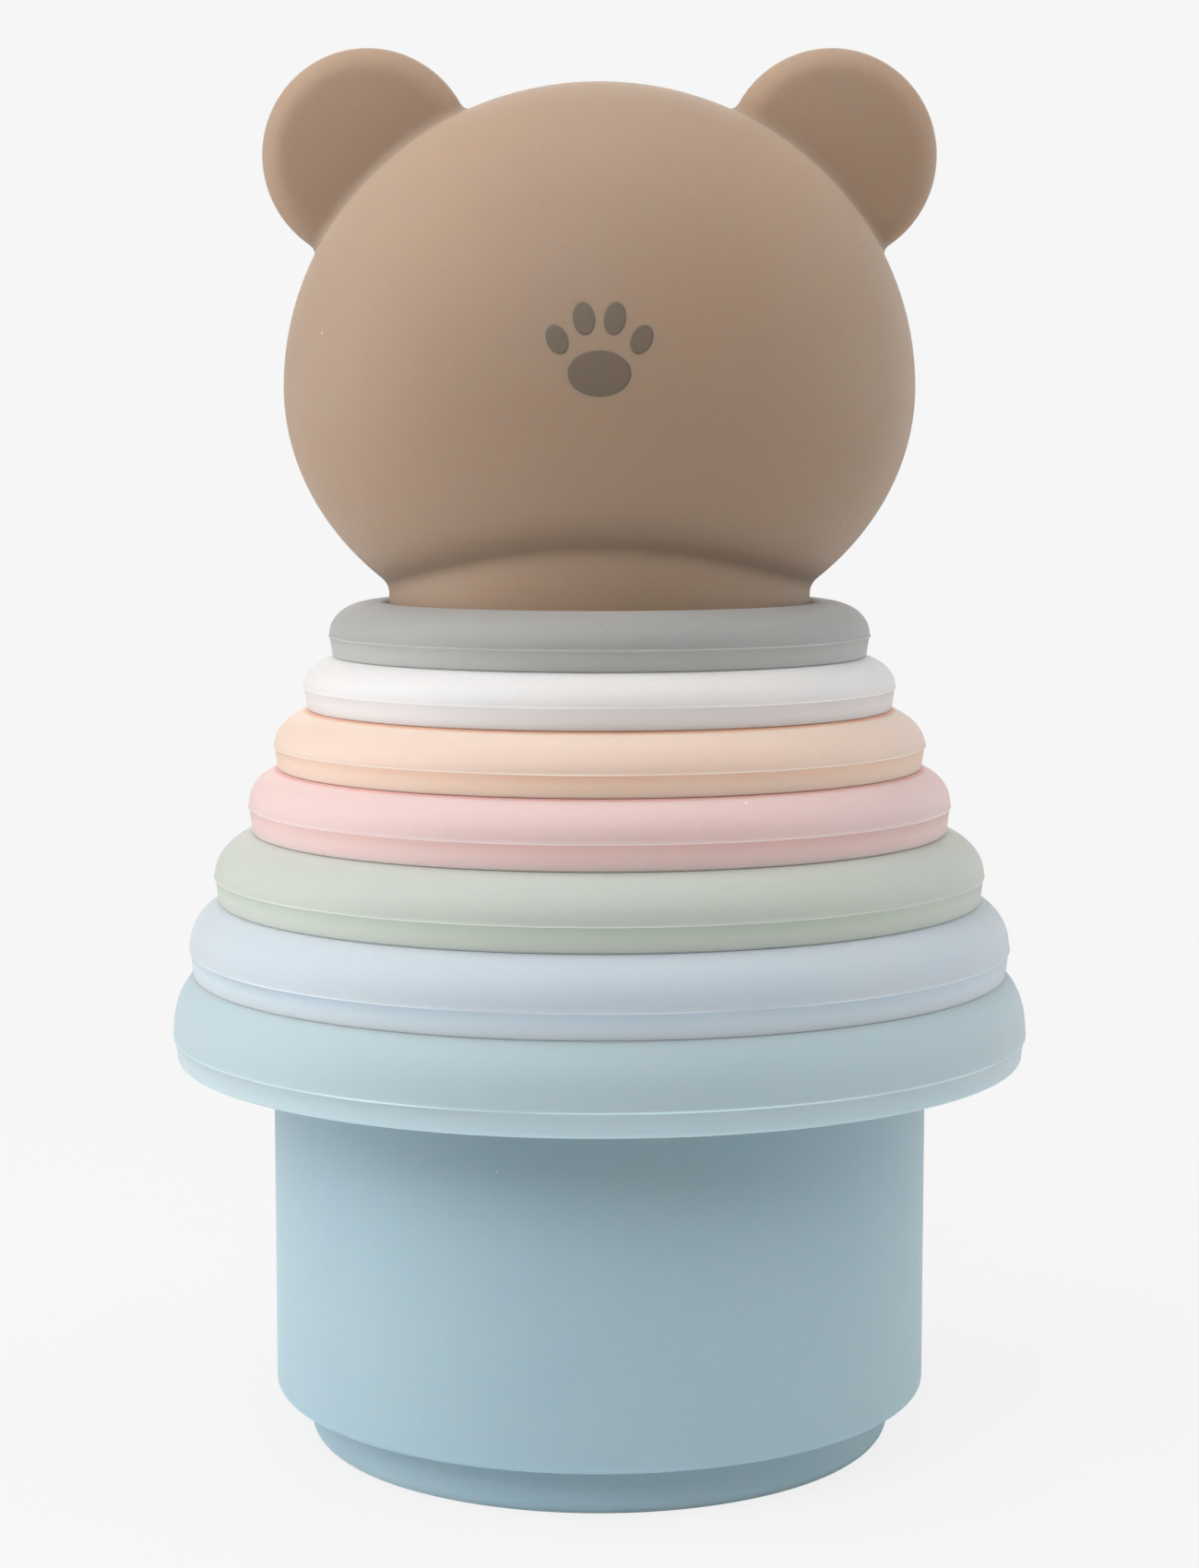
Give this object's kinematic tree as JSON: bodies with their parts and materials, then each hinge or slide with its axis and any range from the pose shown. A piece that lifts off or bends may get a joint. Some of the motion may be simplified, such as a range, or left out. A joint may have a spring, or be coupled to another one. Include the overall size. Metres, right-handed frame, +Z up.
{
  "type": "stacking cup tower",
  "caption": "Nesting silicone cups of falling size with domed overlapping rims, stacked on one axis and topped by a hollow bear head that stands in the smallest cup.",
  "frame": {"origin": "centre of the largest cup's foot, where the tower stands", "axes": "+Z up along the stacking axis, +Y the way the bear faces, +X to the right seen from behind the bear"},
  "size_m": [0.1002, 0.1002, 0.1618],
  "materials": {
    "teal_cup": "matte soft-touch silicone",
    "light_blue_cup": "matte soft-touch silicone",
    "sage_cup": "matte soft-touch silicone",
    "pink_cup": "matte soft-touch silicone",
    "peach_cup": "matte soft-touch silicone",
    "white_cup": "matte soft-touch silicone",
    "grey_cup": "matte soft-touch silicone",
    "bear_head": "matte soft-touch silicone",
    "face_inlay": "satin silicone"
  },
  "bodies": {
    "teal_cup": {"teal_cup": "teal_cup"},
    "light_blue_cup": {"light_blue_cup": "light_blue_cup"},
    "sage_cup": {"sage_cup": "sage_cup"},
    "pink_cup": {"pink_cup": "pink_cup"},
    "peach_cup": {"peach_cup": "peach_cup"},
    "white_cup": {"white_cup": "white_cup"},
    "grey_cup": {"grey_cup": "grey_cup"},
    "bear_head": {"bear_head": "bear_head", "nose": "face_inlay", "left_eye": "face_inlay", "right_eye": "face_inlay"}
  },
  "joints": [
    {"name": "light_blue_cup_lift", "type": "slide", "parent": "teal_cup", "child": "light_blue_cup", "axis": [0, 0, 1], "range_m": [0, 0.049]},
    {"name": "sage_cup_lift", "type": "slide", "parent": "light_blue_cup", "child": "sage_cup", "axis": [0, 0, 1], "range_m": [0, 0.045]},
    {"name": "pink_cup_lift", "type": "slide", "parent": "sage_cup", "child": "pink_cup", "axis": [0, 0, 1], "range_m": [0, 0.041]},
    {"name": "peach_cup_lift", "type": "slide", "parent": "pink_cup", "child": "peach_cup", "axis": [0, 0, 1], "range_m": [0, 0.0375]},
    {"name": "white_cup_lift", "type": "slide", "parent": "peach_cup", "child": "white_cup", "axis": [0, 0, 1], "range_m": [0, 0.0345]},
    {"name": "grey_cup_lift", "type": "slide", "parent": "white_cup", "child": "grey_cup", "axis": [0, 0, 1], "range_m": [0, 0.03]},
    {"name": "bear_head_lift", "type": "slide", "parent": "grey_cup", "child": "bear_head", "axis": [0, 0, 1], "range_m": [0, 0.031]}
  ]
}
